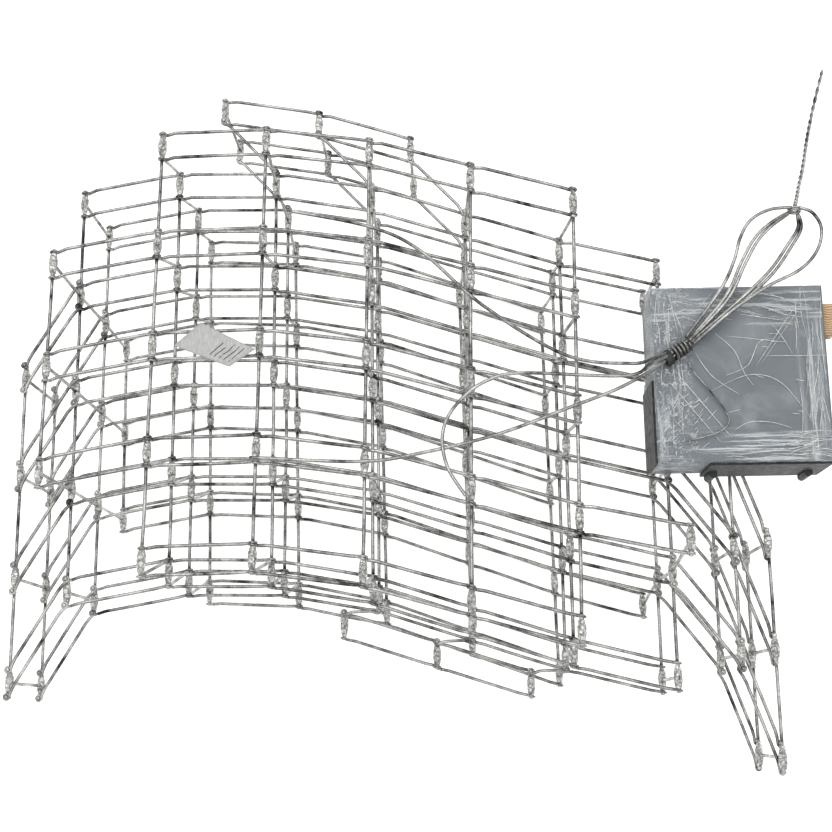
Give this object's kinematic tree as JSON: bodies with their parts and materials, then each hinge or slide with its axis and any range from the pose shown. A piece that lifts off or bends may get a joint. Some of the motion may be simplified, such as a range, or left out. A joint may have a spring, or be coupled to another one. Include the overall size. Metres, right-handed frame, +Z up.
{
  "type": "folding crab trap",
  "caption": "Folding wire crab trap with stacked grids, ferrule joints, folding wings and edge strips, a bait box with a drawer and a lashed wire bridle.",
  "frame": {"origin": "on the floor under the middle of the trap's bounding box", "axes": "+X along the bays from the left wing to the bait box, +Y along the columns away from the wing feet, +Z up"},
  "size_m": [0.5972, 0.5196, 0.2368],
  "materials": {
    "wire_metal": "drawn, dull",
    "ferrule_metal": "crimped, mottled",
    "box_plastic": "satin grey-blue",
    "dark_plastic": "matte",
    "tab_wood": "bare",
    "clear_film": "clear wrinkled film",
    "tag_paper": "printed card"
  },
  "bodies": {
    "trap_frame": {"top_grid_rods": "wire_metal", "upper_middle_grid_rods": "wire_metal", "lower_middle_grid_rods": "wire_metal", "bottom_grid_rods": "wire_metal", "outer_grid_uprights": "wire_metal", "middle_grid_uprights": "wire_metal", "top_grid_ferrules": "ferrule_metal", "upper_middle_grid_ferrules": "ferrule_metal", "lower_middle_grid_ferrules": "ferrule_metal", "bottom_grid_ferrules": "ferrule_metal", "spacer_links": "wire_metal", "hinge_pins": "wire_metal", "bait_box_housing": "box_plastic", "bait_box_base": "dark_plastic", "box_side_panels": "dark_plastic", "film_wrap": "clear_film", "lashing_wraps": "wire_metal", "lashing_clamp": "dark_plastic", "bridle_loops": "wire_metal", "hauling_tail": "wire_metal", "stay_wires": "wire_metal", "label_tag": "tag_paper"},
    "left_rod_1_upper": {"left_rod_1_upper": "wire_metal"},
    "left_rod_1_lower": {"left_rod_1_lower": "wire_metal"},
    "left_rod_2_upper": {"left_rod_2_upper": "wire_metal"},
    "left_rod_2_lower": {"left_rod_2_lower": "wire_metal"},
    "left_rod_3_upper": {"left_rod_3_upper": "wire_metal"},
    "left_rod_3_lower": {"left_rod_3_lower": "wire_metal"},
    "left_rod_4_upper": {"left_rod_4_upper": "wire_metal"},
    "left_rod_4_lower": {"left_rod_4_lower": "wire_metal"},
    "left_foot": {"left_foot_ferrules": "ferrule_metal", "left_foot_wires": "wire_metal"},
    "inner_rod_1_upper": {"inner_rod_1_upper": "wire_metal"},
    "inner_rod_1_lower": {"inner_rod_1_lower": "wire_metal"},
    "inner_rod_2_upper": {"inner_rod_2_upper": "wire_metal"},
    "inner_rod_2_lower": {"inner_rod_2_lower": "wire_metal"},
    "inner_rod_3_upper": {"inner_rod_3_upper": "wire_metal"},
    "inner_rod_3_lower": {"inner_rod_3_lower": "wire_metal"},
    "right_middle": {"right_middle_ferrules": "ferrule_metal", "right_middle_wires": "wire_metal"},
    "outer_rod_1_upper": {"outer_rod_1_upper": "wire_metal"},
    "outer_rod_1_lower": {"outer_rod_1_lower": "wire_metal"},
    "outer_rod_2_upper": {"outer_rod_2_upper": "wire_metal"},
    "outer_rod_2_lower": {"outer_rod_2_lower": "wire_metal"},
    "outer_rod_3_upper": {"outer_rod_3_upper": "wire_metal"},
    "outer_rod_3_lower": {"outer_rod_3_lower": "wire_metal"},
    "right_foot": {"right_foot_ferrules": "ferrule_metal", "right_foot_wires": "wire_metal"},
    "upper_arm_1": {"upper_arm_1": "wire_metal"},
    "upper_arm_2": {"upper_arm_2": "wire_metal"},
    "upper_arm_3": {"upper_arm_3": "wire_metal"},
    "upper_strip": {"upper_strip_ferrules": "ferrule_metal", "upper_strip_wires": "wire_metal"},
    "lower_arm_1": {"lower_arm_1": "wire_metal"},
    "lower_arm_2": {"lower_arm_2": "wire_metal"},
    "lower_arm_3": {"lower_arm_3": "wire_metal"},
    "lower_strip": {"lower_strip_ferrules": "ferrule_metal", "lower_strip_wires": "wire_metal"},
    "drawer": {"bait_drawer": "box_plastic", "wooden_pull_tab": "tab_wood"}
  },
  "joints": [
    {"name": "left_wing_fold", "type": "hinge", "parent": "trap_frame", "child": "left_rod_1_upper", "pos_m": [-0.25678, 0.10871, 0.1532], "axis": [0, 0, 1], "range_deg": [-59, 13]},
    {"name": "left_wing_fold_1_lower", "type": "hinge", "parent": "trap_frame", "child": "left_rod_1_lower", "pos_m": [-0.25678, 0.08971, 0.1532], "axis": [0, 0, 1], "range_deg": [-59, 13]},
    {"name": "left_wing_fold_2_upper", "type": "hinge", "parent": "trap_frame", "child": "left_rod_2_upper", "pos_m": [-0.25678, 0.03371, 0.1532], "axis": [0, 0, 1], "range_deg": [-59, 13]},
    {"name": "left_wing_fold_2_lower", "type": "hinge", "parent": "trap_frame", "child": "left_rod_2_lower", "pos_m": [-0.25678, 0.01471, 0.1532], "axis": [0, 0, 1], "range_deg": [-59, 13]},
    {"name": "left_wing_fold_3_upper", "type": "hinge", "parent": "trap_frame", "child": "left_rod_3_upper", "pos_m": [-0.25678, -0.04129, 0.1532], "axis": [0, 0, 1], "range_deg": [-59, 13]},
    {"name": "left_wing_fold_3_lower", "type": "hinge", "parent": "trap_frame", "child": "left_rod_3_lower", "pos_m": [-0.25678, -0.06029, 0.1532], "axis": [0, 0, 1], "range_deg": [-59, 13]},
    {"name": "left_wing_fold_4_upper", "type": "hinge", "parent": "trap_frame", "child": "left_rod_4_upper", "pos_m": [-0.25678, -0.11629, 0.1532], "axis": [0, 0, 1], "range_deg": [-59, 13]},
    {"name": "left_wing_fold_4_lower", "type": "hinge", "parent": "trap_frame", "child": "left_rod_4_lower", "pos_m": [-0.25678, -0.13529, 0.1532], "axis": [0, 0, 1], "range_deg": [-59, 13]},
    {"name": "left_foot_level", "type": "hinge", "parent": "left_rod_1_upper", "child": "left_foot", "pos_m": [-0.29541, 0.04442, 0.1532], "axis": [0, 0, 1], "range_deg": [-13, 59]},
    {"name": "right_inner_fold", "type": "hinge", "parent": "trap_frame", "child": "inner_rod_1_upper", "pos_m": [0.18136, 0.0429, 0.1532], "axis": [0, 0, 1], "range_deg": [-19, 53]},
    {"name": "right_inner_fold_1_lower", "type": "hinge", "parent": "trap_frame", "child": "inner_rod_1_lower", "pos_m": [0.18136, 0.0239, 0.1532], "axis": [0, 0, 1], "range_deg": [-19, 53]},
    {"name": "right_inner_fold_2_upper", "type": "hinge", "parent": "trap_frame", "child": "inner_rod_2_upper", "pos_m": [0.18136, -0.0321, 0.1532], "axis": [0, 0, 1], "range_deg": [-19, 53]},
    {"name": "right_inner_fold_2_lower", "type": "hinge", "parent": "trap_frame", "child": "inner_rod_2_lower", "pos_m": [0.18136, -0.0511, 0.1532], "axis": [0, 0, 1], "range_deg": [-19, 53]},
    {"name": "right_inner_fold_3_upper", "type": "hinge", "parent": "trap_frame", "child": "inner_rod_3_upper", "pos_m": [0.18136, -0.1071, 0.1532], "axis": [0, 0, 1], "range_deg": [-19, 53]},
    {"name": "right_inner_fold_3_lower", "type": "hinge", "parent": "trap_frame", "child": "inner_rod_3_lower", "pos_m": [0.18136, -0.1261, 0.1532], "axis": [0, 0, 1], "range_deg": [-19, 53]},
    {"name": "right_middle_level", "type": "hinge", "parent": "inner_rod_1_upper", "child": "right_middle", "pos_m": [0.2265, -0.017, 0.1532], "axis": [0, 0, 1], "range_deg": [-53, 19]},
    {"name": "right_outer_fold", "type": "hinge", "parent": "right_middle", "child": "outer_rod_1_upper", "pos_m": [0.2265, -0.017, 0.1532], "axis": [0, 0, 1], "range_deg": [-1, 71]},
    {"name": "right_outer_fold_1_lower", "type": "hinge", "parent": "right_middle", "child": "outer_rod_1_lower", "pos_m": [0.2265, -0.036, 0.1532], "axis": [0, 0, 1], "range_deg": [-1, 71]},
    {"name": "right_outer_fold_2_upper", "type": "hinge", "parent": "right_middle", "child": "outer_rod_2_upper", "pos_m": [0.2265, -0.092, 0.1532], "axis": [0, 0, 1], "range_deg": [-1, 71]},
    {"name": "right_outer_fold_2_lower", "type": "hinge", "parent": "right_middle", "child": "outer_rod_2_lower", "pos_m": [0.2265, -0.111, 0.1532], "axis": [0, 0, 1], "range_deg": [-1, 71]},
    {"name": "right_outer_fold_3_upper", "type": "hinge", "parent": "right_middle", "child": "outer_rod_3_upper", "pos_m": [0.2265, -0.167, 0.1532], "axis": [0, 0, 1], "range_deg": [-1, 71]},
    {"name": "right_outer_fold_3_lower", "type": "hinge", "parent": "right_middle", "child": "outer_rod_3_lower", "pos_m": [0.2265, -0.186, 0.1532], "axis": [0, 0, 1], "range_deg": [-1, 71]},
    {"name": "right_foot_level", "type": "hinge", "parent": "outer_rod_1_upper", "child": "right_foot", "pos_m": [0.25091, -0.08791, 0.1532], "axis": [0, 0, 1], "range_deg": [-71, 1]},
    {"name": "upper_strip_fold", "type": "hinge", "parent": "trap_frame", "child": "upper_arm_1", "pos_m": [-0.10793, 0.19542, 0.1532], "axis": [0, 0, 1], "range_deg": [-70, 15]},
    {"name": "upper_strip_fold_2", "type": "hinge", "parent": "trap_frame", "child": "upper_arm_2", "pos_m": [-0.03407, 0.1824, 0.1532], "axis": [0, 0, 1], "range_deg": [-70, 15]},
    {"name": "upper_strip_fold_3", "type": "hinge", "parent": "trap_frame", "child": "upper_arm_3", "pos_m": [0.03726, 0.15922, 0.1532], "axis": [0, 0, 1], "range_deg": [-70, 15]},
    {"name": "upper_strip_level", "type": "hinge", "parent": "upper_arm_1", "child": "upper_strip", "pos_m": [-0.14885, 0.2393, 0.1532], "axis": [0, 0, 1], "range_deg": [-15, 70]},
    {"name": "lower_strip_fold", "type": "hinge", "parent": "trap_frame", "child": "lower_arm_1", "pos_m": [-0.03407, -0.1366, 0.0782], "axis": [0, 0, 1], "range_deg": [0, 78]},
    {"name": "lower_strip_fold_2", "type": "hinge", "parent": "trap_frame", "child": "lower_arm_2", "pos_m": [0.03726, -0.15978, 0.0782], "axis": [0, 0, 1], "range_deg": [0, 78]},
    {"name": "lower_strip_fold_3", "type": "hinge", "parent": "trap_frame", "child": "lower_arm_3", "pos_m": [0.10859, -0.18296, 0.0782], "axis": [0, 0, 1], "range_deg": [0, 78]},
    {"name": "lower_strip_level", "type": "hinge", "parent": "lower_arm_1", "child": "lower_strip", "pos_m": [-0.06105, -0.13754, 0.0782], "axis": [0, 0, 1], "range_deg": [-78, 0]},
    {"name": "drawer_slide", "type": "slide", "parent": "trap_frame", "child": "drawer", "axis": [1, 0, 0], "range_m": [0, 0.1]}
  ],
  "couplings": [
    {"joint": "left_wing_fold_1_lower", "follows": "left_wing_fold", "ratio": 1},
    {"joint": "left_wing_fold_2_upper", "follows": "left_wing_fold", "ratio": 1},
    {"joint": "left_wing_fold_2_lower", "follows": "left_wing_fold", "ratio": 1},
    {"joint": "left_wing_fold_3_upper", "follows": "left_wing_fold", "ratio": 1},
    {"joint": "left_wing_fold_3_lower", "follows": "left_wing_fold", "ratio": 1},
    {"joint": "left_wing_fold_4_upper", "follows": "left_wing_fold", "ratio": 1},
    {"joint": "left_wing_fold_4_lower", "follows": "left_wing_fold", "ratio": 1},
    {"joint": "left_foot_level", "follows": "left_wing_fold", "ratio": -1},
    {"joint": "right_inner_fold_1_lower", "follows": "right_inner_fold", "ratio": 1},
    {"joint": "right_inner_fold_2_upper", "follows": "right_inner_fold", "ratio": 1},
    {"joint": "right_inner_fold_2_lower", "follows": "right_inner_fold", "ratio": 1},
    {"joint": "right_inner_fold_3_upper", "follows": "right_inner_fold", "ratio": 1},
    {"joint": "right_inner_fold_3_lower", "follows": "right_inner_fold", "ratio": 1},
    {"joint": "right_middle_level", "follows": "right_inner_fold", "ratio": -1},
    {"joint": "right_outer_fold_1_lower", "follows": "right_outer_fold", "ratio": 1},
    {"joint": "right_outer_fold_2_upper", "follows": "right_outer_fold", "ratio": 1},
    {"joint": "right_outer_fold_2_lower", "follows": "right_outer_fold", "ratio": 1},
    {"joint": "right_outer_fold_3_upper", "follows": "right_outer_fold", "ratio": 1},
    {"joint": "right_outer_fold_3_lower", "follows": "right_outer_fold", "ratio": 1},
    {"joint": "right_foot_level", "follows": "right_outer_fold", "ratio": -1},
    {"joint": "upper_strip_fold_2", "follows": "upper_strip_fold", "ratio": 1},
    {"joint": "upper_strip_fold_3", "follows": "upper_strip_fold", "ratio": 1},
    {"joint": "upper_strip_level", "follows": "upper_strip_fold", "ratio": -1},
    {"joint": "lower_strip_fold_2", "follows": "lower_strip_fold", "ratio": 1},
    {"joint": "lower_strip_fold_3", "follows": "lower_strip_fold", "ratio": 1},
    {"joint": "lower_strip_level", "follows": "lower_strip_fold", "ratio": -1}
  ]
}
